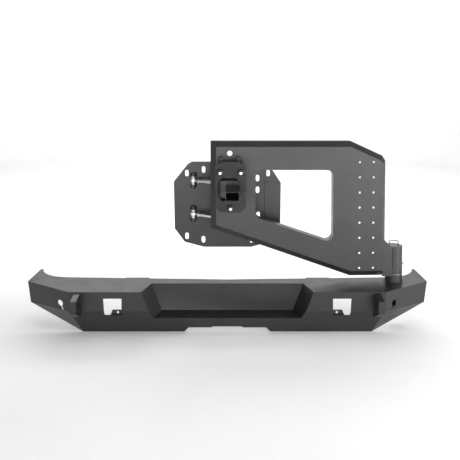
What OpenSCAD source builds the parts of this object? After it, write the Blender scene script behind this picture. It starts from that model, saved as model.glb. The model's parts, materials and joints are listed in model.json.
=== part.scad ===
// Rear bumper with a swing-out spare tyre carrier and a tailgate link.
// Modules are written in shop coordinates: X across the vehicle, Y back from the
// bumper's front face, Z up from its lowest edge. from_front() moves them into
// the part's frame, whose origin is the centre of the frame bolt pattern.

/* [Bumper shell] */
// Overall width of the bumper
bumper_w = 1710; // [1690:10:1750]
// Height of the shell
bumper_h = 185; // [180:1:195]
// Height of the bend between the upright face and the tucked-under face
bend_z = 106; // [104:1:110]
// How far the lower face tucks back at the bottom edge
tuck = 58; // [50:1:64]
// Half width of the straight front
straight_x = 643; // [638:1:648]
// Thickness of the shell plate
wall = 5; // [4:0.5:6]

/* [Step recess] */
// Half width of the recess at its front top corner
recess_x = 351; // [345:1:355]
// Depth of the recess
recess_y = 109; // [100:1:112]
// Height of the step
step_z = 71; // [68:1:74]

/* [Frame mount] */
// Distance from the front face to the frame bolt faces
mount_y = 235; // [232:1:245]
// Height of the frame bolt pattern's centre
mount_z = 110; // [105:1:115]
// Spacing of the frame bolts across the vehicle
bolt_dx = 800; // [780:5:810]
// Vertical spacing of the frame bolts
bolt_dz = 80; // [70:5:85]
// Diameter of the frame bolt holes
bolt_d = 13; // [11:0.5:15]

/* [Recovery tabs] */
// Distance of each shackle tab from the centre
shackle_x = 609; // [600:1:615]
// Thickness of a shackle tab
shackle_t = 26; // [22:1:28]
// Diameter of the shackle pin hole
shackle_d = 24; // [20:1:26]

/* [Hinge] */
// Distance of the hinge axis from the centre
hinge_x = 715; // [713:1:717]
// Depth of the hinge axis behind the front face
hinge_y = 153; // [152:1:154]
// Outer diameter of the hinge tube
tube_d = 73; // [72:1:74]
// Height of the hinge tube
tube_h = 114; // [112:1:116]
// Diameter of the spindle
spindle_d = 50; // [48:1:52]

/* [Swing arm] */
// Depth of the arm's face behind the bumper's front face
arm_y = 111; // [110:0.5:112]
// Thickness of the arm's sheet
sheet = 4.5; // [4:0.5:5]
// Width of the bevelled border
bevel_w = 24; // [20:1:26]
// Depth of the bevelled border
bevel_d = 20; // [16:1:22]
// Depth of the arm from its face to its back edge
arm_depth = 58; // [54:1:62]
// Diameter of the accessory holes in the wing
accessory_d = 9; // [8:0.5:10]
// Pitch of the accessory hole rows
accessory_pitch = 64.3; // [63.5:0.1:65]

/* [Wheel mount] */
// Spacing of the upper pair of wheel studs
stud_spacing = 82.1; // [80:0.1:84]
// Drop from the upper studs to the lower one
stud_drop = 143.5; // [142:0.5:145]
// Diameter of a wheel stud
stud_d = 12.7; // [12:0.1:13]
// Centre line of the wheel mount across the vehicle
wheel_x = 13; // [10:1:16]
// Height of the upper wheel studs
stud_z = 673.5; // [671:0.5:675]
// Distance from the arm's face to the wheel plate's front
wheel_reach = 120; // [115:1:125]

/* [Tailgate link] */
// Height of the upper link
upper_link_z = 608; // [604:1:612]
// Height of the lower link
lower_link_z = 461; // [458:1:464]
// Diameter of the link bolts
link_bolt_d = 12; // [10:0.5:12]

/* [Hidden] */
$fn = 48;

black = [0.10, 0.10, 0.105];
arm_black = [0.16, 0.16, 0.165];
zinc = [0.80, 0.80, 0.82];
bronze = [0.62, 0.46, 0.24];
steel = [0.48, 0.49, 0.51];
eps = 0.01;

// ---- Placing things -------------------------------------------------------

module from_front() { translate([0, -mount_y, -mount_z]) children(); }
module at_hinge(z = 0) { translate([hinge_x, hinge_y, z]) children(); }
module along_y(at) { translate(at) rotate([-90, 0, 0]) children(); }
module on_side(side) { scale([side, 1, 1]) children(); }

function unit(v) = v / norm(v);
function pick(list, index) = list[(index + len(list)) % len(list)];

// A flat plate. Its outer face is the plane polygon through the 3D corners, listed
// clockwise as seen from outside, and its thickness t grows inwards.
module panel(corners, t = wall) {
    ex = unit(corners[1] - corners[0]);
    ez = unit(cross(ex, pick(corners, -1) - corners[0]));
    ey = cross(ez, ex);
    o = corners[0];
    multmatrix([[ex.x, ey.x, ez.x, o.x], [ex.y, ey.y, ez.y, o.y], [ex.z, ey.z, ez.z, o.z]])
        linear_extrude(t)
            polygon([for (c = corners) [(c - o) * ex, (c - o) * ey]]);
}

// An upright plate whose outline is given as [x, z], from depth y0 to y1.
module slab(outline, y0, y1) {
    translate([0, y1, 0]) rotate([90, 0, 0]) linear_extrude(y1 - y0) polygon(outline);
}

// Outline with every corner rounded to radius r by an arc of n steps.
function rounded(points, r, n = 8) = [
    for (i = [0 : len(points) - 1])
        let (
            p = points[i],
            a = unit(pick(points, i - 1) - p),
            b = unit(pick(points, i + 1) - p),
            half = acos(a * b) / 2,
            centre = p + unit(a + b) * r / sin(half),
            start = p + a * r / tan(half) - centre,
            turn = (180 - 2 * half) * sign(cross([a.x, a.y, 0], [b.x, b.y, 0]).z)
        )
        for (k = [0 : n])
            let (w = turn * k / n)
            centre + [start.x * cos(w) + start.y * sin(w), start.y * cos(w) - start.x * sin(w)]
];

// Convex or gently concave outline (anticlockwise) moved inwards by d.
function inset(points, d) = [
    for (i = [0 : len(points) - 1])
        let (
            p = points[i],
            u = unit(p - pick(points, i - 1)),
            v = unit(pick(points, i + 1) - p),
            nu = [-u.y, u.x],
            nv = [-v.y, v.x]
        )
        p + (nu + nv) * d / (1 + nu * nv)
];

module hex(flats, h) { cylinder(d = flats / cos(30), h = h, $fn = 6); }

module tube(outer, inner, h) {
    difference() {
        cylinder(d = outer, h = h);
        translate([0, 0, -1]) cylinder(d = inner, h = h + 2);
    }
}

// ---- Bumper shell ---------------------------------------------------------

end_x = bumper_w / 2;
end_y = 138;
end_tip_y = 311;
lower_end = [840, 128, 99];
lower_corner = [599, tuck, 0];
seam_x = 240;
flange = 32;

// Depth of the tucked-under face at height z
function tuck_y(z) = tuck * (bend_z - z) / bend_z;
// The recess narrows by these amounts for each mm of depth, and of height below the deck
recess_rake = [0.266, 0.394];
recess_normal = norm([1, recess_rake.x, recess_rake.y]);
// Half width of the recess on the plane of its side wall
function recess_side(y, z) = recess_x - recess_rake * [y, bumper_h - z];

recess_back_x = recess_side(recess_y, bumper_h);
// Section of the bumper as [depth, height]: outside of the skin, and inside of it
skin_outside = [[0, bumper_h], [0, bend_z], [tuck, 0], [260, 0], [260, bumper_h]];
skin_inside = inset(skin_outside, wall);

module along_x(x0, x1) {
    translate([x0, 0, 0]) rotate([90, 0, 90]) linear_extrude(x1 - x0) children();
}

// Plan of the vehicle's body, which the deck's back edge follows
module body_plan(gap = 0) {
    polygon([[-707, 193 - gap], [0, 163 - gap], [707, 193 - gap], [707, 500], [-707, 500]]);
    for (side = [-1, 1])
        translate([side * 700, 340]) circle(r = 146 + gap, $fn = 96);
    translate([-846 - gap, 340]) square([2 * (846 + gap), 200]);
}

module body() { translate([0, 0, -1]) linear_extrude(bumper_h + 2) body_plan(); }

// Lip turned down from the deck along the body, over a plan polygon
module lip(plan, depth = 24) {
    translate([0, 0, bumper_h - depth]) linear_extrude(depth - wall / 2) difference() {
        intersection() {
            polygon(plan);
            body_plan(wall);
        }
        body_plan();
    }
}

// Space above the step. Grown by a sheet's thickness it is the outside of the step pan.
module recess_space(grow = 0) {
    face = [for (p = [[300, -100], [300, 400], [-100, 400], [-100, -100]])
            [recess_side(p.y, p.x) + grow * recess_normal, p.y, p.x]];
    difference() {
        translate([-500, -20, step_z - grow]) cube([1000, recess_y + 20 + grow, 200]);
        for (side = [-1, 1])
            on_side(side) panel([face[1], face[0], face[3], face[2]], 300);
    }
}

// Bent skin from x0 to x1: deck, upright face, tucked-under face and bottom flange
module skin(x0, x1) {
    difference() {
        along_x(x0, x1) polygon(skin_outside);
        along_x(x0 - 1, x1 + 1) polygon([
            skin_inside[0], skin_inside[1], skin_inside[2], [300, wall], [300, bumper_h - wall]
        ]);
        translate([x0 - 1, tuck + flange, -1]) cube([x1 - x0 + 2, 300, 60]);
        recess_space();
        body();
    }
}

module light_opening() { slab([[500, 86], [504, 158], [429, 158], [429, 86]], -5, 60); }

module shackle_block(reach_in = 60) {
    along_x(shackle_x - shackle_t / 2, shackle_x + shackle_t / 2) difference() {
        polygon([
            [reach_in, bumper_h - wall], [0, bumper_h - wall], [-67, 168], [-67, 122],
            [-58, 112], [-34, 101], [-10, 88], [tuck_y(76), 76], [reach_in, 76]
        ]);
        translate([-35, 145]) circle(d = shackle_d);
    }
}

module half_shell() {
    difference() {
        union() {
            skin(seam_x, straight_x);
            lip([[recess_back_x, 100], [straight_x, 100], [straight_x, 230],
                 [recess_back_x, 230]]);
        }
        slab([[lower_corner.x, 0], [straight_x, bend_z], [700, bend_z], [700, -5],
              [lower_corner.x - 2, -5]], -5, 300);
        translate([seam_x - 1, recess_y - 1, 100]) cube([recess_back_x - seam_x + 1, 200, 100]);
        light_opening();
        shackle_block();
    }
}

module left_shell() { color(black) from_front() on_side(-1) half_shell(); }
module right_shell() { color(black) from_front() half_shell(); }

module centre_shell() {
    color(black) from_front() difference() {
        skin(-seam_x, seam_x);
        translate([-300, recess_y - 30, 50]) cube([600, 300, 200]);
        slab([[179, -1], [160, 21], [64, 21], [59, 26], [-59, 26], [-64, 21], [-160, 21],
              [-179, -1]], -5, 300);
    }
}

module keyhole() {
    translate([685, 0, 131]) rotate([-90, 0, 0]) {
        cylinder(d = 25, h = 90);
        rotate([0, 0, 28]) translate([-3.5, 0, 0]) cube([7, 29, 90]);
    }
}

module half_wing() {
    top_in = [straight_x, 0, bumper_h];
    bend_in = [straight_x, 0, bend_z];
    top_out = [end_x, end_y, bumper_h];
    tip = [end_x, end_tip_y, bumper_h];
    plan = [[straight_x, 0], [end_x, end_y], [end_x, end_tip_y], [straight_x, end_tip_y]];
    difference() {
        union() {
            panel([top_in, top_out, lower_end, bend_in]);
            panel([bend_in, lower_end, lower_corner]);
            panel([top_out, tip, [end_x - 5.2, end_tip_y, 155], lower_end]);
            difference() {
                translate([0, 0, bumper_h - wall]) linear_extrude(wall) polygon(plan);
                body();
            }
            lip(plan);
        }
        keyhole();
        half_shell();
    }
}

module left_wing() { color(black) from_front() on_side(-1) half_wing(); }
module right_wing() {
    color(black) from_front() difference() {
        half_wing();
        at_hinge(bumper_h - 10) cylinder(d = spindle_d, h = 20);
    }
}

// One bent sheet: the step, the wall behind it and its two sides, and the strip of deck
module step_pan() {
    strip = [[-recess_back_x, recess_y + wall], [recess_back_x, recess_y + wall],
             [recess_back_x, 230], [-recess_back_x, 230]];
    color(black) from_front() {
        difference() {
            intersection() {
                recess_space(wall);
                along_x(-500, 500) polygon([
                    skin_inside[0], skin_inside[1], skin_inside[2], [300, wall],
                    [300, bumper_h - wall]
                ]);
            }
            recess_space();
        }
        difference() {
            translate([-recess_back_x, recess_y, bumper_h - wall])
                cube([2 * recess_back_x, 120, wall]);
            body();
        }
        lip(strip);
    }
}

// ---- Inside the bumper ----------------------------------------------------

bracket_x = bolt_dx / 2;
bracket_t = 8;
web_t = 8;

// Side view of the webs and ribs: clear of the skin, the lip and the light openings
module web(x, y_end, t) {
    translate([x - t / 2, 0, 0]) rotate([90, 0, 90]) linear_extrude(t)
        polygon([
            [wall, bend_z + 2], [wall, bumper_h - wall], [155, bumper_h - wall],
            [155, 156], [y_end, 156], [y_end, 56], [tuck_y(56) + 6, 56]
        ]);
}

module frame_bracket() {
    difference() {
        translate([bracket_x - 52, mount_y - bracket_t, 50]) cube([104, bracket_t, 120]);
        for (side = [-1, 1])
            along_y([bracket_x, mount_y - 20, mount_z + side * bolt_dz / 2])
                cylinder(d = bolt_d, h = 40);
    }
    difference() {
        for (dx = [-36, 14]) web(bracket_x + dx, mount_y - bracket_t, web_t);
        half_shell();
    }
}

module left_frame_bracket() { color(black) from_front() on_side(-1) frame_bracket(); }
module right_frame_bracket() { color(black) from_front() frame_bracket(); }

module left_shackle_tab() { color(black) from_front() on_side(-1) shackle_block(); }
module right_shackle_tab() { color(black) from_front() shackle_block(); }

// Bent tab low in each light opening that the light's foot bolts to. Its own foot runs
// forward to the tucked-under face.
module light_tab() {
    tab_y = 28;
    foot_z = 76;
    foot_y = tuck_y(foot_z) + 2;
    difference() {
        union() {
            slab([[429, foot_z], [482, foot_z], [471, 102.5], [429, 102.5]], tab_y, tab_y + 3);
            translate([429, foot_y, foot_z]) cube([53, tab_y + 1 - foot_y, 3]);
        }
        along_y([449, tab_y - 8, 92]) cylinder(d = 10, h = 20);
        half_shell();
    }
}

module left_light_tab() { color(arm_black) from_front() on_side(-1) light_tab(); }
module right_light_tab() { color(arm_black) from_front() light_tab(); }

module shell_ribs() {
    color(black) from_front()
        for (side = [-1, 1])
            on_side(side) difference() {
                web(545, 150, 5);
                half_shell();
            }
}

// ---- Spindle --------------------------------------------------------------

collar_top = bumper_h + 32.5;
box_bottom = 72;
tube_bottom = collar_top + 2.5;
tube_top = tube_bottom + tube_h;
tube_bore = spindle_d + 12;
spindle_top = tube_top - 34;
running = 0.05;

module spindle_box() {
    color(black) from_front() {
        at_hinge(box_bottom) tube(spindle_d + 20, spindle_d, bumper_h - wall - box_bottom);
        difference() {
            translate([hinge_x - 4, 56, 100]) cube([8, hinge_y - 56, bumper_h - wall - 100]);
            at_hinge(box_bottom) cylinder(d = spindle_d + 20, h = 200);
            half_wing();
        }
    }
}

module spindle_collar() {
    color(arm_black) from_front() at_hinge(bumper_h)
        tube(tube_d - 1, spindle_d, collar_top - bumper_h);
}

module spindle() {
    color(steel) from_front() at_hinge() difference() {
        union() {
            translate([0, 0, 36]) cylinder(d = 36, h = 30);
            translate([0, 0, 62]) cylinder(d = spindle_d, h = spindle_top - 62);
        }
        translate([0, 0, spindle_top - 26]) cylinder(d = 12, h = 30);
    }
}

module spindle_washer() {
    color(zinc) from_front() at_hinge(box_bottom - 6 - 10)
        difference() {
            cylinder(d = 66, h = 6 + 10);
            translate([0, 0, 6]) cylinder(d = spindle_d, h = 20);
            translate([0, 0, -1]) cylinder(d = 36, h = 20);
        }
}

module spindle_nut() {
    color(zinc) from_front() at_hinge(box_bottom - 16 - 18)
        difference() {
            hex(55, 18);
            translate([0, 0, -1]) cylinder(d = 36, h = 20);
        }
}

// Disc on the spindle's end. Its curved groove lets the peg travel the swing
// from closed to fully open and stops it at each end.
peg_r = 20;
peg_d = 8;
swing_max = 95;
groove_floor = spindle_top + 3;
disc_top = spindle_top + 9;
closed_angle = 180;

module groove() {
    margin = asin(peg_d / 2 / peg_r) + 4;
    rotate([0, 0, closed_angle - margin]) rotate_extrude(angle = swing_max + 2 * margin)
        translate([peg_r - peg_d / 2 - 0.4, 0]) square([peg_d + 0.8, 10]);
}

module stop_disc() {
    color(steel) from_front() at_hinge() difference() {
        translate([0, 0, spindle_top]) cylinder(d = tube_bore - 2, h = disc_top - spindle_top);
        translate([0, 0, groove_floor]) groove();
        translate([0, 0, spindle_top - 1]) cylinder(d = 12, h = 20);
    }
}

module stop_disc_screw() {
    color(zinc) from_front() at_hinge() {
        translate([0, 0, spindle_top - 26]) cylinder(d = 12, h = disc_top - spindle_top + 26);
        translate([0, 0, disc_top]) hex(19, 4);
    }
}

// ---- Hinge on the arm -----------------------------------------------------

module hinge_tube() {
    color(arm_black) from_front() at_hinge(tube_bottom) difference() {
        tube(tube_d, tube_bore, tube_h);
        translate([0, 0, 40]) rotate([90, 0, 90]) cylinder(d = 6, h = 50);
    }
}

module bush() {
    tube(tube_bore, spindle_d + 2 * running, 30);
    tube(tube_d - 1, spindle_d + 2 * running, 2);
}

module lower_bush() {
    color(bronze) from_front() at_hinge(tube_bottom - 2) bush();
}

module upper_bush() {
    color(bronze) from_front() at_hinge(spindle_top - 0.5) mirror([0, 0, 1])
        tube(tube_bore, spindle_d + 2 * running, 30);
}

cap_under = tube_top - 1;
cap_top = tube_top + 4;
bail_x = 19.5;
wire_d = 4;

module hinge_cap() {
    color(arm_black) from_front() at_hinge() difference() {
        union() {
            translate([0, 0, tube_top]) cylinder(d = tube_d, h = cap_top - tube_top);
            translate([0, 0, cap_under]) cylinder(d = tube_bore, h = 1);
        }
        for (side = [-1, 1])
            translate([side * bail_x, 0, cap_under - 1]) cylinder(d = wire_d + 0.6, h = 10);
    }
}

module grease_fitting() {
    color(zinc) from_front() at_hinge(tube_bottom + 40) rotate([90, 0, 90])
        translate([0, 0, tube_d / 2 - 5]) {
            cylinder(d = 6, h = 7);
            translate([0, 0, 6]) hex(9, 3);
            translate([0, 0, 9]) cylinder(d = 5, h = 5);
        }
}

plunger_t = 5;
plunger_z = disc_top + 5;
bail_top = cap_top + 20;

module stop_plunger() {
    color(steel) from_front() at_hinge(plunger_z) {
        difference() {
            cylinder(d = tube_bore - 6, h = plunger_t);
            for (side = [-1, 1])
                translate([side * bail_x, 0, -1]) cylinder(d = wire_d, h = 10);
        }
        rotate([0, 0, closed_angle]) translate([peg_r, 0, groove_floor + 1 - plunger_z])
            cylinder(d = peg_d, h = plunger_z - groove_floor - 1 + eps);
    }
}

module plunger_bail() {
    bend = 4;
    color(zinc) from_front() at_hinge() {
        for (side = [-1, 1]) {
            translate([side * bail_x, 0, plunger_z])
                cylinder(d = wire_d, h = bail_top - bend - wire_d / 2 - plunger_z);
            translate([side * (bail_x - bend), 0, bail_top - bend - wire_d / 2])
                rotate([90, 0, 0]) rotate([0, 0, side > 0 ? 0 : 90])
                    rotate_extrude(angle = 90) translate([bend, 0]) circle(d = wire_d);
        }
        translate([-bail_x + bend, 0, bail_top - wire_d / 2]) rotate([0, 90, 0])
            cylinder(d = wire_d, h = 2 * (bail_x - bend));
    }
}

// Compression spring as one swept wire
spring_r = 11;
spring_wire = 1.6;
spring_turns = 3.5;
spring_z0 = plunger_z + plunger_t + spring_wire / 2;
spring_z1 = cap_under - spring_wire / 2;

module plunger_spring() {
    steps = 56;
    sides = 8;
    rings = [for (i = [0 : steps])
        let (
            w = 360 * spring_turns * i / steps,
            z = spring_z0 + (spring_z1 - spring_z0) * i / steps
        )
        for (k = [0 : sides - 1])
            let (v = 360 * k / sides, r = spring_r + spring_wire / 2 * cos(v))
            [r * cos(w), r * sin(w), z + spring_wire / 2 * sin(v)]];
    skin = [for (i = [0 : steps - 1], k = [0 : sides - 1])
        let (a = i * sides + k, b = i * sides + (k + 1) % sides)
        [a, a + sides, b + sides, b]];
    color(steel) from_front() at_hinge()
        polyhedron(rings, concat([[for (k = [0 : sides - 1]) k]], skin,
                                 [[for (k = [sides - 1 : -1 : 0]) steps * sides + k]]));
}

// ---- Swing arm ------------------------------------------------------------

bend_x = 522;
wing_bend = 2.5;
arm_left = -71.5;
arm_top = 788.5;
left_bottom = 418;
bottom_slope = 0.3457;
wing_bottom = left_bottom - bottom_slope * (bend_x - arm_left);
wing_right = 672;
wing_fold = wing_right - 14;
ear_x = 706;
back_y = arm_y + arm_depth;

// Depth of the face at x: flat up to the bend, then raked back
function face_y(x) = arm_y + max(0, x - bend_x) * tan(wing_bend);
function on_face(p, depth = 0) = [p.x, face_y(p.x) + depth, p.y];

// Outer edge of the arm, and the fold line where its bevelled border starts
rim = [
    [arm_left, arm_top], [bend_x, arm_top], [659, 725], [wing_right, 703],
    [wing_right, wing_bottom], [bend_x, wing_bottom], [arm_left, left_bottom]
];
fold = [
    [arm_left + bevel_w, arm_top - bevel_w], [bend_x, arm_top - bevel_w], [645, 707.5],
    [wing_fold, 695], [wing_fold, wing_bottom + bevel_w],
    [bend_x, wing_bottom + bevel_w],
    [arm_left + bevel_w, left_bottom + (1 - bottom_slope) * bevel_w]
];
ear_top = 367;
ear = concat(
    [[wing_fold, wing_bottom], [ear_x, wing_bottom]],
    [for (i = [6 : -1 : 0]) [ear_x - 38 + 38 * i / 6, ear_top - 27 * sin(15 * i)]],
    [[wing_fold, ear_top]]
);

// Outline taken anticlockwise and moved in by d, at a depth behind the face. A corner on the
// bend line stays level with the flat face.
function ring(outline, d, depth) =
    let (turned = [for (i = [len(outline) - 1 : -1 : 0]) outline[i]], moved = inset(turned, d))
    [for (i = [0 : len(moved) - 1])
        [moved[i].x, face_y(min(moved[i].x, turned[i].x)) + depth, moved[i].y]];

// The arm as a solid block whose surface is d inside the real one
module arm_block(d) {
    back = [for (p = ring(rim, d, 0)) [p.x, back_y + d, p.z]];
    points = concat(ring(fold, 0.6 * d, d), ring(rim, d, bevel_d + 0.6 * d), back);
    hull() polyhedron(points, [for (i = [0 : len(points) - 3]) [i, i + 1, i + 2]]);
}

// The folded pan before its openings are cut
module arm_pan() {
    difference() {
        arm_block(0);
        arm_block(sheet);
    }
}

window = [[447, 356], [447, 667], [119, 667], [119, 466.5]];
window_r = 27;
hole_rows = 8;
hole_columns = [559, 618];
top_hole = [10, 737.5];

module link_slots() {
    for (z = [lower_link_z, upper_link_z])
        translate([arm_left - 10, arm_y + bevel_d + 3, z - 16]) cube([26, 80, 32]);
}

module arm_face() {
    color(arm_black) from_front() difference() {
        arm_pan();
        slab(rounded(window, window_r), arm_y - 5, back_y + 5);
        for (x = hole_columns, row = [0 : hole_rows - 1])
            along_y([x, arm_y - 5, 699.8 - row * accessory_pitch])
                cylinder(d = accessory_d, h = 30, $fn = 24);
        along_y([top_hole.x, arm_y - 5, top_hole.y]) cylinder(d = 23, h = 30);
        for (p = bracket_bolt_at)
            along_y([p.x, arm_y - 5, p.y]) cylinder(d = bracket_bolt_d, h = 30);
        link_slots();
    }
}

// Plate that carries the face on to the hinge tube, over the wing's bevelled border
module hinge_ear() {
    color(arm_black) from_front() difference() {
        panel([for (i = [len(ear) - 1 : -1 : 0]) on_face(ear[i])], sheet);
        arm_pan();
        at_hinge() cylinder(d = tube_d, h = 500);
    }
}

module window_rim() {
    color(arm_black) from_front() difference() {
        slab(rounded(inset(window, -4), window_r + 4), arm_y + sheet, back_y - 6);
        slab(rounded(window, window_r), arm_y - 5, back_y + 5);
    }
}

// Upright stiffeners welded behind the face on either side of the window
module arm_ribs() {
    inside = inset([fold[6], fold[5], fold[1], fold[0]], 3);
    color(arm_black) from_front()
        for (x = [88, 478])
            intersection() {
                translate([x, arm_y + sheet, 0]) cube([6, arm_depth - sheet - 6, 900]);
                slab(inside, arm_y, back_y);
            }
}

// Box behind the wing that carries the load into the hinge tube
module hinge_channel() {
    x0 = 634;
    color(arm_black) from_front() difference() {
        union() {
            for (z = [tube_bottom + 1, tube_top - 7])
                translate([x0, arm_y + 2 * sheet, z]) cube([hinge_x - x0, 50, 6]);
            translate([x0, back_y - 4, tube_bottom + 1]) cube([hinge_x - x0, 6, tube_h - 2]);
        }
        at_hinge() cylinder(d = tube_d, h = 500);
        panel([for (p = [[bend_x, 800], [720, 800], [720, 200], [bend_x, 200]])
               on_face(p, -20)], 20 + sheet);
        arm_pan();
    }
}

// ---- Wheel bracket --------------------------------------------------------

plate_front = arm_y - wheel_reach;
plate_t = 8;
plate_back = plate_front + plate_t;
base_t = 6;
bracket_bolt_d = 12;
bracket_bolt_at = [[-25.5, 714], [45.4, 714], [-12, 532], [34, 532]];
wheel_studs_at = [
    [wheel_x - stud_spacing / 2, stud_z], [wheel_x + stud_spacing / 2, stud_z],
    [wheel_x, stud_z - stud_drop]
];
stud_reach = 32;
stud_head_d = stud_d + 5;
stud_head_h = 4;
stud_mean_d = 11.9;
nut_gap = 4;
nut_hex_h = 13;
nut_h = 16;
nut_flange_d = 26;
camera_box = [[-6, 583], [46, 617]];
camera_front = plate_front - 141;
side_x = [-36, 54];
side_t = 6;

// Base flange with two ears for the upper bolts, and the two side plates
module bracket_channel() {
    base = [
        [-40, 512], [66, 512], [66, 702], [57, 722], [50, 726], [40, 726], [34, 711],
        [-14, 711], [-20, 726], [-31, 726], [-38, 722], [-40, 702]
    ];
    color(black) from_front() difference() {
        union() {
            slab(base, arm_y - base_t, arm_y);
            for (x = side_x)
                translate([x, plate_back, 520])
                    rotate([90, 0, 90]) linear_extrude(side_t) polygon([
                        [0, 4], [arm_y - base_t - plate_back, 0],
                        [arm_y - base_t - plate_back, 180], [0, 176]
                    ]);
        }
        for (p = bracket_bolt_at)
            along_y([p.x, arm_y - 20, p.y]) cylinder(d = bracket_bolt_d, h = 30);
        for (p = wheel_studs_at)
            along_y([p.x, plate_back - 1, p.y])
                cylinder(d = stud_head_d + 1, h = stud_head_h + 2);
        slab([[-8, 570], [30, 570], [30, 660], [-8, 660]], arm_y - 20, arm_y + 5);
    }
}

module bracket_bolts() {
    color(black) from_front()
        for (p = bracket_bolt_at) {
            along_y([p.x, arm_y - base_t, p.y])
                cylinder(d = bracket_bolt_d, h = base_t + sheet + 16);
            along_y([p.x, arm_y - base_t - 8, p.y]) hex(19, 8);
        }
}

module bracket_nuts() {
    color(zinc) from_front()
        for (p = bracket_bolt_at)
            along_y([p.x, arm_y + sheet, p.y]) difference() {
                hex(19, 10);
                translate([0, 0, -1]) cylinder(d = bracket_bolt_d, h = 20);
            }
}

module wheel_plate() {
    outline = [
        [-28, 511], [54, 511], [75, 534], [75, 575], [66, 589], [75, 603], [75, 697],
        [49, 714], [-23, 714], [-49, 697], [-49, 603], [-40, 589], [-49, 575], [-49, 534]
    ];
    opening = [
        [-20, 557], [34, 557], [51, 575], [51, 632], [34, 650], [-20, 650], [-37, 632],
        [-37, 575]
    ];
    color(arm_black) from_front() difference() {
        slab(outline, plate_front, plate_back);
        slab(opening, plate_front - 5, plate_back + 5);
        for (p = wheel_studs_at)
            along_y([p.x, plate_front - 5, p.y]) cylinder(d = stud_d, h = plate_t + 10);
    }
}

// Thread under the nut is at its mean diameter; the free end is at its outer diameter
module wheel_studs() {
    neck = nut_gap + nut_h + 1;
    color(zinc) from_front()
        for (p = wheel_studs_at) {
            along_y([p.x, plate_front - stud_reach, p.y])
                cylinder(d = stud_d, h = stud_reach - neck);
            along_y([p.x, plate_front - neck, p.y]) cylinder(d = stud_mean_d, h = neck);
            along_y([p.x, plate_front, p.y]) cylinder(d = stud_d, h = plate_t);
            along_y([p.x, plate_back, p.y]) cylinder(d = stud_head_d, h = stud_head_h);
        }
}

// Run on by hand, a little short of the plate
module lug_nuts() {
    color(black) from_front()
        for (p = wheel_studs_at)
            along_y([p.x, plate_front - nut_gap - nut_h, p.y]) difference() {
                union() {
                    hex(21, nut_hex_h);
                    translate([0, 0, nut_hex_h - 1])
                        cylinder(d = nut_flange_d, h = nut_h - nut_hex_h + 1);
                }
                translate([0, 0, -1]) cylinder(d = stud_mean_d, h = nut_h + 2);
            }
}

// Square tube for a camera, held by a cross plate between the side plates
module camera_tube() {
    x0 = camera_box[0].x;
    x1 = camera_box[1].x;
    z0 = camera_box[0].y;
    z1 = camera_box[1].y;
    tube_wall = 2;
    color(black) from_front() difference() {
        union() {
            slab([[x0, z0], [x1, z0], [x1, z1], [x0, z1]], camera_front, 30);
            slab([[side_x[0] + side_t, 565], [side_x[1], 565], [side_x[1], 635],
                  [side_x[0] + side_t, 635]], 24, 30);
        }
        slab([[x0 + tube_wall, z0 + tube_wall], [x1 - tube_wall, z0 + tube_wall],
              [x1 - tube_wall, z1 - tube_wall], [x0 + tube_wall, z1 - tube_wall]],
             camera_front - 5, 35);
    }
}

// ---- Tailgate link --------------------------------------------------------

arm_pin = [-38, 132];
gate_pin = [-150, 214];
link_length = norm(gate_pin - arm_pin);
link_turn = atan2(gate_pin.y - arm_pin.y, gate_pin.x - arm_pin.x);
ball_d = 19;
ball_w = 16;
gate_ball_w = 38;
spacer_d = 20;
eye_d = 28;
eye_w = 12;
tab_t = 5;
shank_d = 12;
body_end = 34;
body_flats = 17;
nut_t = 6;
link_zs = [lower_link_z, upper_link_z];

module at_arm_pin(z) { translate([arm_pin.x, arm_pin.y, z]) children(); }
module at_gate_pin(z) { translate([gate_pin.x, gate_pin.y, z]) children(); }
module along_link(z) { at_arm_pin(z) rotate([0, 0, link_turn]) children(); }

// Eye on the origin with its threaded shank along +X
module rod_end() {
    difference() {
        union() {
            translate([0, 0, -eye_w / 2]) cylinder(d = eye_d, h = eye_w);
            rotate([0, 90, 0]) cylinder(d = shank_d, h = body_end + 18);
        }
        sphere(d = ball_d + 0.6, $fn = 64);
    }
}

module turnbuckle() {
    difference() {
        translate([body_end, 0, 0]) rotate([0, 90, 0])
            hex(body_flats, link_length - 2 * body_end);
        for (x = [0, link_length - body_end - 18])
            translate([x, 0, 0]) rotate([0, 90, 0]) cylinder(d = shank_d, h = body_end + 18);
    }
}

module jam_nuts() {
    for (x = [body_end - nut_t, link_length - body_end])
        translate([x, 0, 0]) rotate([0, 90, 0]) difference() {
            hex(19, nut_t);
            translate([0, 0, -1]) cylinder(d = shank_d, h = nut_t + 2);
        }
}

module arm_rod_end(z) { color(zinc) from_front() along_link(z) rod_end(); }
module gate_rod_end(z) {
    color(zinc) from_front() along_link(z) translate([link_length, 0, 0])
        rotate([0, 0, 180]) rod_end();
}
module link_body(z) { color(zinc) from_front() along_link(z) turnbuckle(); }
module link_nuts(z) { color(zinc) from_front() along_link(z) jam_nuts(); }

module upper_arm_rod_end() { arm_rod_end(upper_link_z); }
module upper_turnbuckle() { link_body(upper_link_z); }
module upper_gate_rod_end() { gate_rod_end(upper_link_z); }
module upper_jam_nuts() { link_nuts(upper_link_z); }
module lower_arm_rod_end() { arm_rod_end(lower_link_z); }
module lower_turnbuckle() { link_body(lower_link_z); }
module lower_gate_rod_end() { gate_rod_end(lower_link_z); }
module lower_jam_nuts() { link_nuts(lower_link_z); }

// Two tabs either side of a ball of width w, reaching a distance along +Y or -Y. The foot
// runs from foot_x to the tab's right edge.
module clevis(w, reach, foot_x) {
    tab_r = 15;
    for (z = [-w / 2 - tab_t, w / 2])
        translate([0, 0, z]) difference() {
            union() {
                cylinder(r = tab_r, h = tab_t);
                translate([foot_x, min(0, reach), 0]) cube([tab_r - foot_x, abs(reach), tab_t]);
            }
            translate([0, 0, -1]) cylinder(d = link_bolt_d, h = tab_t + 2);
        }
}

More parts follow.
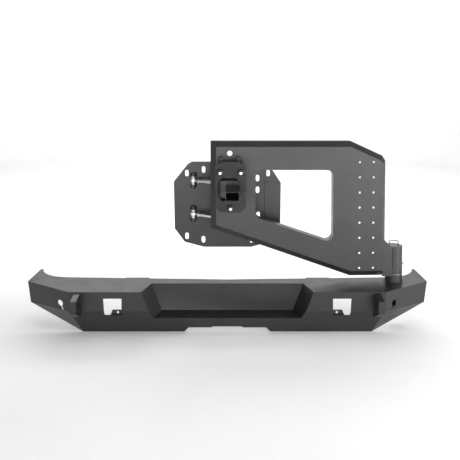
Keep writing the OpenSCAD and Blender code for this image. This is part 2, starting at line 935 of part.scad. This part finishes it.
module arm_clevis(z) {
    color(arm_black) from_front() at_arm_pin(z) clevis(ball_w, arm_y + sheet - arm_pin.y, -3);
}
module gate_clevis(z) {
    color(black) from_front() at_gate_pin(z) clevis(gate_ball_w, gate_y - gate_pin.y, -15);
}
module upper_arm_clevis() { arm_clevis(upper_link_z); }
module lower_arm_clevis() { arm_clevis(lower_link_z); }
module upper_gate_clevis() { gate_clevis(upper_link_z); }
module lower_gate_clevis() { gate_clevis(lower_link_z); }

// The bolt through a clevis for a ball joint of width w, its nut, and the ball with a
// loose spacer either side where the joint is wider than the ball
module link_bolt(w) {
    stack = w / 2 + tab_t;
    translate([0, 0, -stack - 13]) cylinder(d = link_bolt_d, h = 2 * stack + 13);
    translate([0, 0, stack]) hex(19, 7.5);
}

module link_nut(w) {
    translate([0, 0, -w / 2 - tab_t - 10]) difference() {
        hex(19, 10);
        translate([0, 0, -1]) cylinder(d = link_bolt_d, h = 12);
    }
}

module link_ball(w) {
    difference() {
        intersection() {
            sphere(d = ball_d, $fn = 64);
            translate([0, 0, -ball_w / 2]) cylinder(d = ball_d, h = ball_w);
        }
        translate([0, 0, -ball_w]) cylinder(d = link_bolt_d, h = 2 * ball_w);
    }
    if (w > ball_w)
        for (z = [-w / 2, ball_w / 2])
            translate([0, 0, z]) tube(spacer_d, link_bolt_d, (w - ball_w) / 2);
}

module arm_link_bolts() {
    color(zinc) from_front() for (z = link_zs) at_arm_pin(z) link_bolt(ball_w);
}
module arm_link_nuts() {
    color(zinc) from_front() for (z = link_zs) at_arm_pin(z) link_nut(ball_w);
}
module arm_link_balls() {
    color(steel) from_front() for (z = link_zs) at_arm_pin(z) link_ball(ball_w);
}
module gate_link_bolts() {
    color(black) from_front() for (z = link_zs) at_gate_pin(z) link_bolt(gate_ball_w);
}
module gate_link_nuts() {
    color(black) from_front() for (z = link_zs) at_gate_pin(z) link_nut(gate_ball_w);
}
module gate_link_balls() {
    color(steel) from_front() for (z = link_zs) at_gate_pin(z) link_ball(gate_ball_w);
}

// ---- Tailgate plate -------------------------------------------------------

gate_y = 235;
gate_t = 5;
gate_slots = [
    [-180, 637], [180, 637], [-180, 357], [180, 357], [-106, 653], [-107, 341], [107, 341],
    [133, 615], [133, 563], [136, 450]
];
slot_w = 16;
slot_h = 30;

module gate_slot() {
    for (dz = [-1, 1])
        translate([0, 0, dz * (slot_h - slot_w) / 2]) along_y([0, -20, 0])
            cylinder(d = slot_w, h = 40);
    translate([-slot_w / 2, -20, (slot_w - slot_h) / 2]) cube([slot_w, 40, slot_h - slot_w]);
}

module gate_plate() {
    outline = [
        [-105, 308], [105, 308], [190, 331], [234, 390], [236, 594], [202, 646], [157, 688],
        [-157, 688], [-177, 676], [-238, 599], [-234, 390], [-190, 331]
    ];
    color(black) from_front() difference() {
        slab(outline, gate_y, gate_y + gate_t);
        for (p = gate_slots) translate([p.x, gate_y, p.y]) gate_slot();
    }
}

module gate_doubler() {
    color(black) from_front()
        slab([[164, 395], [230, 395], [232, 592], [200, 600], [164, 600]], gate_y - 3, gate_y);
}

centre_shell();
left_shell();
right_shell();
left_wing();
right_wing();
step_pan();
left_frame_bracket();
right_frame_bracket();
left_shackle_tab();
right_shackle_tab();
left_light_tab();
right_light_tab();
shell_ribs();
spindle_box();
spindle_collar();
spindle();
spindle_washer();
spindle_nut();
stop_disc();
stop_disc_screw();
arm_face();
hinge_ear();
arm_ribs();
hinge_channel();
window_rim();
hinge_tube();
lower_bush();
upper_bush();
hinge_cap();
grease_fitting();
upper_arm_clevis();
lower_arm_clevis();
arm_link_bolts();
arm_link_nuts();
arm_link_balls();
bracket_channel();
bracket_bolts();
bracket_nuts();
wheel_plate();
wheel_studs();
lug_nuts();
camera_tube();
upper_arm_rod_end();
upper_turnbuckle();
upper_gate_rod_end();
upper_jam_nuts();
lower_arm_rod_end();
lower_turnbuckle();
lower_gate_rod_end();
lower_jam_nuts();
gate_plate();
gate_doubler();
upper_gate_clevis();
lower_gate_clevis();
gate_link_bolts();
gate_link_nuts();
gate_link_balls();
stop_plunger();
plunger_bail();
plunger_spring();
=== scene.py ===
"""Looks of the rear bumper with its swing-out spare tyre carrier.

Frame: +X right along the bumper, +Y into the vehicle, +Z up, metres. Welded and bent pieces are
the CAD meshes with rounded edges; bolts, nuts, studs and welds are built here. The spring, the
link balls, the grease fitting and the stop disc's screw show as the CAD made them.
"""
import json
import math

import bmesh
import bpy
from mathutils import Matrix, Vector

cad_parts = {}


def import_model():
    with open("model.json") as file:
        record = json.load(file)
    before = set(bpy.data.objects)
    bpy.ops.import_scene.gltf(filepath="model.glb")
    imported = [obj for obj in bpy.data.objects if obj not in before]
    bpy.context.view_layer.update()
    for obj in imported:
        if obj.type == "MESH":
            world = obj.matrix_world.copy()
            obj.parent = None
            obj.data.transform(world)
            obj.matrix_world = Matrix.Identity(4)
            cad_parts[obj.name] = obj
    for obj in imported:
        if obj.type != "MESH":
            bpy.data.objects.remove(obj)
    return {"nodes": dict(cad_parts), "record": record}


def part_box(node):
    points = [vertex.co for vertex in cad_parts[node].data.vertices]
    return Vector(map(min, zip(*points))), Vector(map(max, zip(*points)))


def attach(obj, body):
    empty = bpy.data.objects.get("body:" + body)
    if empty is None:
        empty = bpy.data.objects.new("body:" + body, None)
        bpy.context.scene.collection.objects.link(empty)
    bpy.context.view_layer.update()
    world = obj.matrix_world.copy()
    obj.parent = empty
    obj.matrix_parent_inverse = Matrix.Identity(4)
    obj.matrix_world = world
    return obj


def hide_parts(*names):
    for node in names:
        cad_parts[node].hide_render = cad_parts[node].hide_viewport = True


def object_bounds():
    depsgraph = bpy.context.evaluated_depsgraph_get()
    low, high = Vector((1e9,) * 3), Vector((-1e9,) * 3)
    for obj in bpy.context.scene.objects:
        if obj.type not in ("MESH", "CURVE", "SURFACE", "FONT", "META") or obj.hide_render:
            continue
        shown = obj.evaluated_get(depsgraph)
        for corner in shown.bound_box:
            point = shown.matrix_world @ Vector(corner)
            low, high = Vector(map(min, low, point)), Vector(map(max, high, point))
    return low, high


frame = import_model()
cad_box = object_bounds()
NODES = frame["nodes"]
MM = 0.001
TAU = math.tau


# ---- Materials -------------------------------------------------------------

class Shader:
    """A material being built: thin helpers round the node tree."""

    def __init__(self, name):
        self.material = bpy.data.materials.new(name)
        self.material.use_nodes = True
        self.tree = self.material.node_tree
        self.bsdf = self.tree.nodes["Principled BSDF"]
        self.coords = self.tree.nodes.new("ShaderNodeTexCoord").outputs["Object"]

    def set(self, **values):
        for name, value in values.items():
            self.bsdf.inputs[name.replace("_", " ")].default_value = value

    def link(self, output, name):
        self.tree.links.new(output, self.bsdf.inputs[name])

    def noise(self, scale, detail=3.0, stretch=None):
        node = self.tree.nodes.new("ShaderNodeTexNoise")
        node.inputs["Scale"].default_value = scale
        node.inputs["Detail"].default_value = detail
        source = self.coords
        if stretch:
            mapping = self.tree.nodes.new("ShaderNodeMapping")
            mapping.inputs["Scale"].default_value = stretch
            self.tree.links.new(source, mapping.inputs["Vector"])
            source = mapping.outputs["Vector"]
        self.tree.links.new(source, node.inputs["Vector"])
        return node.outputs["Fac"]

    def cells(self, scale):
        node = self.tree.nodes.new("ShaderNodeTexVoronoi")
        node.feature = "SMOOTH_F1"
        node.inputs["Scale"].default_value = scale
        self.tree.links.new(self.coords, node.inputs["Vector"])
        return node.outputs["Distance"]

    def ramp(self, value, stops):
        node = self.tree.nodes.new("ShaderNodeValToRGB")
        elements = node.color_ramp.elements
        while len(elements) < len(stops):
            elements.new(0.5)
        for element, (position, color) in zip(elements, stops):
            element.position = position
            element.color = (*color, 1.0)
        self.tree.links.new(value, node.inputs["Fac"])
        return node.outputs["Color"]

    def spread(self, value, low, high):
        """Stretches the middle of a noise, 0.3 to 0.7, to run from low to high."""
        node = self.tree.nodes.new("ShaderNodeMapRange")
        node.inputs["From Min"].default_value = 0.3
        node.inputs["From Max"].default_value = 0.7
        node.inputs["To Min"].default_value = low
        node.inputs["To Max"].default_value = high
        self.tree.links.new(value, node.inputs["Value"])
        return node.outputs["Result"]

    def bump(self, heights):
        """heights is a list of (height output, depth in metres), finest first."""
        normal = None
        for height, depth in heights:
            node = self.tree.nodes.new("ShaderNodeBump")
            node.inputs["Strength"].default_value = 1.0
            node.inputs["Distance"].default_value = depth
            self.tree.links.new(height, node.inputs["Height"])
            if normal is not None:
                self.tree.links.new(normal, node.inputs["Normal"])
            normal = node.outputs["Normal"]
        self.link(normal, "Normal")


def grey(value, warmth=0.0):
    return (value * (1 + warmth), value, value * (1 - warmth))


PEBBLE_DEPTH = 0.04 * MM
PEEL_DEPTH = 0.10 * MM
GRAIN_DEPTH = 0.02 * MM
PAPER_DEPTH = 0.05 * MM


def powder_coat(name, tone, roughness, peel, sheen=0.5):
    """Black powder coat: fine pebbled skin over a slow orange-peel wave, faint dust."""
    shader = Shader(name)
    shader.set(Specular_IOR_Level=sheen, IOR=1.5)
    dust = shader.noise(9.0, detail=6.0)
    shader.link(shader.ramp(dust, [(0.35, grey(tone)), (0.75, grey(tone * 1.35, 0.01))]),
                "Base Color")
    shader.link(shader.spread(shader.noise(14.0, detail=5.0), roughness - 0.05,
                              roughness + 0.06), "Roughness")
    shader.bump([(shader.cells(1150.0), PEBBLE_DEPTH * peel),
                 (shader.noise(260.0), PEEL_DEPTH * peel)])
    return shader.material


def plated(name, tone, roughness, tint=(1.0, 1.0, 1.0), grain=(40.0, 40.0, 900.0)):
    """Plated or ground metal with a drawn grain and cloudy patches."""
    shader = Shader(name)
    shader.set(Metallic=1.0)
    cloud = shader.noise(60.0, detail=4.0)
    low = tuple(tone * 0.82 * c for c in tint)
    high = tuple(tone * c for c in tint)
    shader.link(shader.ramp(cloud, [(0.3, low), (0.7, high)]), "Base Color")
    shader.link(shader.spread(shader.noise(1.0, detail=2.0, stretch=grain), roughness - 0.07,
                              roughness + 0.09), "Roughness")
    shader.bump([(shader.noise(1.0, detail=2.0, stretch=grain), GRAIN_DEPTH)])
    return shader.material


def floor_paper(name):
    """Pale seamless paper with a faint tooth."""
    shader = Shader(name)
    shader.set(Roughness=0.9, Specular_IOR_Level=0.2)
    shader.link(shader.ramp(shader.noise(3.0), [(0.3, grey(0.86)), (0.7, grey(0.89))]),
                "Base Color")
    shader.bump([(shader.noise(500.0), PAPER_DEPTH)])
    return shader.material


MATERIALS = {
    "bumper_coat": powder_coat("bumper_coat", 0.012, 0.35, 1.0),
    "arm_coat": powder_coat("arm_coat", 0.021, 0.37, 1.2),
    "satin_black": powder_coat("satin_black", 0.014, 0.36, 1.1),
    "matt_black": powder_coat("matt_black", 0.012, 0.42, 1.1, sheen=0.28),
    "zinc": plated("zinc", 0.92, 0.24, tint=(0.98, 0.99, 1.0)),
    "bare_steel": plated("bare_steel", 0.50, 0.30, grain=(900.0, 900.0, 30.0)),
    "black_oxide": powder_coat("black_oxide", 0.012, 0.34, 0.4),
    "bronze": plated("bronze", 0.62, 0.32, tint=(1.0, 0.74, 0.42)),
}
SLOT_OF = {s["node"]: s["material_slot"] for s in frame["record"]["subparts"]}
BODY_OF = {n: b for b, nodes in frame["record"]["behaviour"]["bodies"].items() for n in nodes}


# ---- Making pieces ---------------------------------------------------------

def add_piece(name, mesh, node, replace=True, smooth_angle=30.0):
    """Links a mesh as a piece with a CAD node's body and finish, standing for the node."""
    mesh.materials.clear()
    mesh.materials.append(MATERIALS[SLOT_OF[node]])
    mesh.shade_smooth()
    mesh.set_sharp_from_angle(angle=math.radians(smooth_angle))
    piece = bpy.data.objects.new(name, mesh)
    bpy.context.scene.collection.objects.link(piece)
    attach(piece, BODY_OF[node])
    if replace:
        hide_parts(node)
    return piece


def solids(node):
    """The separate solids of a node, each as (lowest corner, highest corner), left to right."""
    bm = bmesh.new()
    bm.from_mesh(NODES[node].data)
    bmesh.ops.remove_doubles(bm, verts=bm.verts, dist=1e-6)
    left = set(bm.verts)
    found = []
    while left:
        island, frontier = [], [left.pop()]
        while frontier:
            vert = frontier.pop()
            island.append(vert.co.copy())
            for edge in vert.link_edges:
                other = edge.other_vert(vert)
                if other in left:
                    left.remove(other)
                    frontier.append(other)
        found.append((Vector(map(min, *island)), Vector(map(max, *island))))
    bm.free()
    return sorted(found, key=lambda box: (round(box[0].x, 4), box[0].z))


def flat_faced_mesh(node):
    """The CAD node's own mesh as a bmesh, with its flat faces joined."""
    bm = bmesh.new()
    bm.from_mesh(NODES[node].data)
    bmesh.ops.remove_doubles(bm, verts=bm.verts, dist=2e-6)
    bmesh.ops.dissolve_limit(bm, angle_limit=math.radians(0.6), verts=bm.verts, edges=bm.edges)
    return bm


# Widths of eased edges. The angles are in degrees: faces that meet at less than a smooth angle are
# shaded as one, and a small solid's edges are eased from EASED_FROM.
SHEET_EDGE = 2.0 * MM
SMALL_EDGE = 0.6 * MM
SHEET_SMOOTH = 14.0
SMALL_SMOOTH = 30.0
EASED_FROM = 22.0


def rounded_piece(node, bm, width, smooth_angle, limit):
    """A piece from a node's bmesh with a rounding modifier on its edges."""
    mesh = bpy.data.meshes.new(node + "_rounded")
    bm.to_mesh(mesh)
    bm.free()
    piece = add_piece(node + "_piece", mesh, node, smooth_angle=smooth_angle)
    bevel = piece.modifiers.new("edges", "BEVEL")
    bevel.width = width
    bevel.segments = 2
    bevel.limit_method = limit
    bevel.angle_limit = math.radians(EASED_FROM)
    bevel.use_clamp_overlap = True
    bevel.miter_outer = "MITER_ARC"
    bevel.harden_normals = True


def sheet_piece(node):
    """A bent or cut plate: only its long edges are rounded, as a press brake leaves them."""
    bm = flat_faced_mesh(node)
    weight = bm.edges.layers.float.new("bevel_weight_edge")
    fold = math.radians(SHEET_SMOOTH)
    shortest = 2.2 * SHEET_EDGE
    for edge in bm.edges:
        folded = len(edge.link_faces) == 2 and edge.calc_face_angle(0) > fold
        if folded and edge.calc_length() > shortest:
            edge[weight] = 1.0
    rounded_piece(node, bm, SHEET_EDGE, SHEET_SMOOTH, "WEIGHT")


def machined_piece(node):
    """A small solid with every edge eased."""
    rounded_piece(node, flat_faced_mesh(node), SMALL_EDGE, SMALL_SMOOTH, "ANGLE")


def ring_mesh(name, rings, closed=False):
    """A mesh skinned over equal rings of points. closed joins the last ring to the first;
    otherwise both end rings are capped."""
    bm = bmesh.new()
    verts = [[bm.verts.new(p) for p in ring] for ring in rings]
    count = len(rings[0])
    pairs = list(zip(verts, verts[1:]))
    if closed:
        pairs.append((verts[-1], verts[0]))
    for a, b in pairs:
        for i in range(count):
            j = (i + 1) % count
            bm.faces.new((a[i], a[j], b[j], b[i]))
    if not closed:
        bm.faces.new(list(reversed(verts[0])))
        bm.faces.new(verts[-1])
    bmesh.ops.recalc_face_normals(bm, faces=bm.faces)
    mesh = bpy.data.meshes.new(name)
    bm.to_mesh(mesh)
    bm.free()
    return mesh


def joined(name, meshes):
    """One mesh from several, each freed afterwards."""
    bm = bmesh.new()
    for mesh in meshes:
        bm.from_mesh(mesh)
        bpy.data.meshes.remove(mesh)
    result = bpy.data.meshes.new(name)
    bm.to_mesh(result)
    bm.free()
    return result


def placed(mesh, centre, axis):
    """Moves a mesh made along +Z so that its origin is at centre and +Z is along axis."""
    turn = Vector(axis).to_track_quat("Z", "Y").to_matrix().to_4x4()
    mesh.transform(Matrix.Translation(centre) @ turn)
    return mesh


def lathe(name, profile, sides=48):
    """A turned closed profile of (radius, height) points round +Z."""
    rings = []
    for i in range(sides):
        w = TAU * i / sides
        rings.append([(r * math.cos(w), r * math.sin(w), z) for r, z in profile])
    return ring_mesh(name, rings, closed=True)


def hex_body(name, flats, height, bore, sides=72):
    """A hexagon with the curved chamfer of a real nut, round a bore, from z = 0 to height."""
    inscribed = flats / 2 * 0.97  # the round flat left inside the chamfer
    slope = math.tan(math.radians(30))
    rings = []
    for i in range(sides):
        w = TAU * i / sides
        reach = flats / 2 / math.cos((w % (TAU / 6)) - TAU / 12)
        drop = (reach - inscribed) * slope
        profile = [(bore, 0.0), (inscribed, 0.0), (reach, drop), (reach, height - drop),
                   (inscribed, height), (bore, height)]
        rings.append([(r * math.cos(w), r * math.sin(w), z) for r, z in profile])
    return ring_mesh(name, rings, closed=True)


def thread(name, radius, z0, z1, pitch, sides=28):
    """A rod from z0 to z1, its thread running out to the root over one pitch at each end."""
    steps_a_turn = 6
    steps = max(8, int((z1 - z0) / pitch * steps_a_turn))
    depth = pitch * 0.6
    rings = []
    for i in range(steps + 1):
        z = z0 + (z1 - z0) * i / steps
        end = min(1.0, min(z - z0, z1 - z) / pitch)
        ring = []
        for k in range(sides):
            phase = (z / pitch - k / sides) % 1.0
            r = radius - depth * (1 - end * (1 - abs(2 * phase - 1)))
            ring.append((r * math.cos(TAU * k / sides), r * math.sin(TAU * k / sides), z))
        rings.append(ring)
    return ring_mesh(name, rings)


def bead(name, points, size, closed=False):
    """A weld bead along points: overlapping scales, a little flatter where they overlap."""
    sides = 10
    rings_a_scale = 4
    scale_length = size * 0.55
    path = [Vector(p) for p in points]
    total = sum((b - a).length for a, b in zip(path, path[1:]))
    count = max(6, int(total / (scale_length / rings_a_scale)))
    samples = []
    for i in range(count + 1):
        goal = total * i / count
        for a, b in zip(path, path[1:]):
            length = (b - a).length
            if goal <= length + 1e-9:
                samples.append((a.lerp(b, goal / max(length, 1e-9)), (b - a).normalized()))
                break
            goal -= length
    rings = []
    for i, (point, along) in enumerate(samples):
        side = along.orthogonal().normalized()
        other = along.cross(side)
        swell = 0.82 + 0.18 * abs(math.sin(math.pi * i / rings_a_scale))
        taper = 1.0 if closed else min(1.0, 0.35 + 0.3 * min(i, count - i))
        r = size / 2 * swell * taper
        turns = [TAU * k / sides for k in range(sides)]
        rings.append([point + side * r * math.cos(w) + other * r * math.sin(w) for w in turns])
    if closed:
        rings = rings[:-1]
    return ring_mesh(name, rings, closed=closed)


def middle(box):
    return (box[0] + box[1]) / 2


# ---- Bent and welded pieces ------------------------------------------------

for node in ("centre_shell", "left_shell", "right_shell", "left_wing", "right_wing", "step_pan",
             "arm_face", "hinge_ear", "window_rim", "left_shackle_tab", "right_shackle_tab",
             "wheel_plate", "bracket_channel", "camera_tube", "gate_plate",
             "left_frame_bracket", "right_frame_bracket"):
    sheet_piece(node)
for node in ("left_light_tab", "right_light_tab", "shell_ribs", "arm_ribs", "hinge_channel",
             "spindle_box", "spindle_collar", "hinge_tube", "hinge_cap", "gate_doubler",
             "upper_gate_clevis", "lower_gate_clevis", "upper_arm_clevis", "lower_arm_clevis",
             "upper_arm_rod_end", "lower_arm_rod_end", "upper_gate_rod_end",
             "lower_gate_rod_end", "upper_turnbuckle", "lower_turnbuckle", "spindle",
             "spindle_washer", "stop_disc", "stop_plunger", "lower_bush", "upper_bush",
             "plunger_bail"):
    machined_piece(node)


# ---- Fasteners -------------------------------------------------------------

DOWN, BACK = (0, 0, -1), (0, 1, 0)
M12_FLATS = 19 * MM
M12_RADIUS = 6 * MM
M12_PITCH = 1.75 * MM
PLAIN_SHARE = 0.45  # of a bolt's length under its head
CENTRE = 0.1 * MM  # a turned profile starts this far from its axis, not on it


def nuts(node, flats, height, bore, axis):
    """Chamfered hexagons, one on each solid of the node, built along axis."""
    axis = Vector(axis)
    meshes = []
    for box in solids(node):
        half = abs((box[1] - box[0]).dot(axis)) / 2
        start = middle(box) - axis * half
        meshes.append(placed(hex_body(node, flats, height, bore), start, axis))
    add_piece(node + "_piece", joined(node + "_mesh", meshes), node)


def bolts(node, head, axis):
    """M12 hex bolts along axis, head first: chamfered head, plain shank, then a thread."""
    axis = Vector(axis)
    meshes = []
    for box in solids(node):
        length = abs((box[1] - box[0]).dot(axis))
        start = middle(box) - axis * length / 2
        top = hex_body(node, M12_FLATS, head, CENTRE)
        meshes.append(placed(top, start + axis * head, -axis))
        plain_end = head + (length - head) * PLAIN_SHARE
        plain = [(CENTRE, head), (M12_RADIUS, head), (M12_RADIUS, plain_end), (CENTRE, plain_end)]
        meshes.append(placed(lathe(node, plain), start, axis))
        cut = thread(node, M12_RADIUS, plain_end, length, M12_PITCH)
        meshes.append(placed(cut, start, axis))
    add_piece(node + "_piece", joined(node + "_mesh", meshes), node)


for node in ("arm_link_nuts", "gate_link_nuts"):
    nuts(node, M12_FLATS, 10 * MM, M12_RADIUS, DOWN)
nuts("bracket_nuts", M12_FLATS, 10 * MM, M12_RADIUS, BACK)
nuts("spindle_nut", 55 * MM, 18 * MM, 18 * MM, DOWN)
for node in ("arm_link_bolts", "gate_link_bolts"):
    bolts(node, 7.5 * MM, DOWN)
bolts("bracket_bolts", 8 * MM, BACK)


def link_direction(which):
    """Unit vector along a link from the arm to the tailgate plate."""
    near = middle(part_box(f"{which}_arm_rod_end"))
    far = middle(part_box(f"{which}_gate_rod_end"))
    return (far - near).normalized()


JAM_NUT = 6 * MM
for which in ("upper", "lower"):
    node = f"{which}_jam_nuts"
    along = link_direction(which)
    meshes = [placed(hex_body(node, M12_FLATS, JAM_NUT, M12_RADIUS),
                     middle(box) - along * JAM_NUT / 2, along) for box in solids(node)]
    add_piece(node + "_piece", joined(node + "_mesh", meshes), node)


def lug_nuts():
    """Hex nuts with a round flange towards the plate, on the wheel studs."""
    bore = 6.4 * MM
    length = 16 * MM
    flange = [(bore, 12 * MM), (10.4 * MM, 12 * MM), (12.4 * MM, 13.2 * MM),
              (13 * MM, 14.4 * MM), (13 * MM, 15.6 * MM), (12.6 * MM, length), (bore, length)]
    meshes = []
    for box in solids("lug_nuts"):
        start = middle(box) - Vector(BACK) * length / 2
        meshes.append(placed(hex_body("lug", 21 * MM, 13 * MM, bore), start, BACK))
        meshes.append(placed(lathe("flange", flange), start, BACK))
    add_piece("lug_nuts_piece", joined("lug_nuts_mesh", meshes), "lug_nuts")


def wheel_studs():
    """Press-in studs: rounded tip, thread, plain neck and a round head behind the plate."""
    radius, root, head = 6.35 * MM, 5.4 * MM, 8.85 * MM
    thread_end, neck_end = 30 * MM, 40 * MM
    pitch = 1.5 * MM
    nose = [(CENTRE, 0), (root - 1 * MM, 0), (root, 1 * MM), (root, 3 * MM), (CENTRE, 3 * MM)]
    meshes = []
    for box in solids("wheel_studs"):
        length = (box[1] - box[0]).y
        tip = middle(box) - Vector(BACK) * length / 2
        shoulder = [(CENTRE, thread_end), (radius, thread_end), (radius, neck_end),
                    (head - 0.4 * MM, neck_end), (head, neck_end + 0.6 * MM),
                    (head, length - 1 * MM), (head - 0.6 * MM, length), (CENTRE, length)]
        meshes.append(placed(thread("stud", radius, 2 * MM, thread_end, pitch), tip, BACK))
        meshes.append(placed(lathe("stud_nose", nose), tip, BACK))
        meshes.append(placed(lathe("stud_shoulder", shoulder), tip, BACK))
    add_piece("wheel_studs_piece", joined("wheel_studs_mesh", meshes), "wheel_studs")


lug_nuts()
wheel_studs()


# ---- Welds -----------------------------------------------------------------

WELD = 5 * MM


def weld(name, points, beside, closed=False):
    """A bead that rides with the node it lies beside and has that node's finish."""
    add_piece(name, bead(name, points, WELD, closed=closed), beside, replace=False,
              smooth_angle=60.0)


def circle(centre, radius, z, steps=64):
    """A ring of points at height z, the last one on the first."""
    turns = [TAU * i / steps for i in range(steps + 1)]
    return [(centre.x + radius * math.cos(w), centre.y + radius * math.sin(w), z) for w in turns]


collar_low, collar_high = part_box("spindle_collar")
hinge_axis = (collar_low + collar_high) / 2
collar_radius = (collar_high - collar_low).x / 2
weld("collar_weld", circle(hinge_axis, collar_radius + 0.5 * MM, collar_low.z + 1 * MM),
     "spindle_collar", closed=True)

# Where the arm's ear meets the hinge tube
tube_low, tube_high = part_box("hinge_tube")
ear_low, ear_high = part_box("hinge_ear")
tube_radius = (tube_high - tube_low).x / 2
seam_y = ear_low.y + 1.5 * MM
seam_x = hinge_axis.x - math.sqrt(tube_radius ** 2 - (hinge_axis.y - seam_y) ** 2)
seam_ends = (tube_low.z + 20 * MM, ear_high.z - 30 * MM)
weld("hinge_weld", [(seam_x, seam_y, z) for z in seam_ends], "hinge_tube")

# Both sides of each shackle tab, on the upright face
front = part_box("centre_shell")[0].y
for side in ("left", "right"):
    tab_low, tab_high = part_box(f"{side}_shackle_tab")
    weld_ends = (tab_low.z + 34 * MM, tab_high.z - 6 * MM)
    for edge, x in (("inner", tab_low.x), ("outer", tab_high.x)):
        weld(f"{side}_shackle_weld_{edge}", [(x, front, z) for z in weld_ends],
             f"{side}_shackle_tab")


# ---- Stage -----------------------------------------------------------------

def cove(z, reach=6.0, sweep=1.5, height=4.5, sides=96):
    """A pale round paper cove: a flat floor that sweeps up into a wall all the way round."""
    flat_steps, sweep_steps = 6, 12
    section = [(reach * i / flat_steps, z) for i in range(1, flat_steps + 1)]
    section += [(reach + sweep * math.sin(w), z + sweep * (1 - math.cos(w)))
                for w in (TAU / 4 * i / sweep_steps for i in range(1, sweep_steps + 1))]
    section.append((reach + sweep, z + height))
    bm = bmesh.new()
    centre = bm.verts.new((0, 0, z))
    rings = [[bm.verts.new((r * math.cos(TAU * k / sides), r * math.sin(TAU * k / sides), h))
              for k in range(sides)] for r, h in section]
    for k in range(sides):
        after = (k + 1) % sides
        bm.faces.new((centre, rings[0][k], rings[0][after]))
        for low, high in zip(rings, rings[1:]):
            bm.faces.new((low[k], high[k], high[after], low[after]))
    mesh = bpy.data.meshes.new("floor")
    bm.to_mesh(mesh)
    bm.free()
    mesh.shade_smooth()
    mesh.materials.append(floor_paper("floor_paper"))
    paper = bpy.data.objects.new("floor", mesh)
    bpy.context.scene.collection.objects.link(paper)


def softbox(name, place, target, size, radiance, mirrored=True):
    """A soft rectangular lamp. One that isn't mirrored lights surfaces without a highlight."""
    light = bpy.data.lights.new(name, "AREA")
    light.shape = "RECTANGLE"
    light.size, light.size_y = size
    light.energy = radiance * math.pi * size[0] * size[1]
    lamp = bpy.data.objects.new(name, light)
    lamp.location = place
    lamp.rotation_mode = "QUATERNION"
    lamp.rotation_quaternion = (Vector(target) - Vector(place)).to_track_quat("-Z", "Y")
    lamp.visible_camera = False
    lamp.visible_glossy = mirrored
    bpy.context.scene.collection.objects.link(lamp)


def world(strength):
    studio = bpy.data.worlds.new("studio")
    studio.use_nodes = True
    background = studio.node_tree.nodes["Background"]
    background.inputs["Color"].default_value = (1.0, 1.0, 1.0, 1.0)
    background.inputs["Strength"].default_value = strength
    bpy.context.scene.world = studio


def camera(place, pitch, lens, shift):
    """Looks along +Y, tipped down by pitch degrees. A vertical shift keeps the pitch small, so
    that uprights stay nearly upright."""
    data = bpy.data.cameras.new("camera")
    data.sensor_width = 36.0
    data.lens = lens
    data.shift_y = shift
    data.clip_end = 50.0
    eye = bpy.data.objects.new("camera", data)
    eye.location = place
    eye.rotation_euler = (math.radians(90 - pitch), 0, 0)
    bpy.context.scene.collection.objects.link(eye)
    bpy.context.scene.camera = eye


low = cad_box[0]
cove(low.z - 1 * MM)
camera((0.011, front - 2.347, low.z + 0.988), pitch=2.0, lens=45.5, shift=-0.252)
softbox("front", (0.0, front - 3.2, low.z + 0.65), (0, 0, 0.25), (4.6, 1.6), 3.7)
softbox("right", (2.6, front - 1.6, 0.7), (0.3, 0, 0.1), (1.6, 1.6), 9.0)
softbox("overhead", (0.0, 0.2, 3.0), (0, 0.2, 0), (4.0, 4.0), 1.2, mirrored=False)
softbox("backdrop", (0.0, 2.5, 3.6), (0, 6.5, 0.6), (6.0, 2.0), 6.6, mirrored=False)
softbox("strip", (0.0, 1.6, 1.6), (0, 0.1, 0.0), (3.0, 0.6), 4.7)
world(0.15)
scene = bpy.context.scene
scene.view_settings.view_transform = "Standard"
scene.view_settings.look = "None"
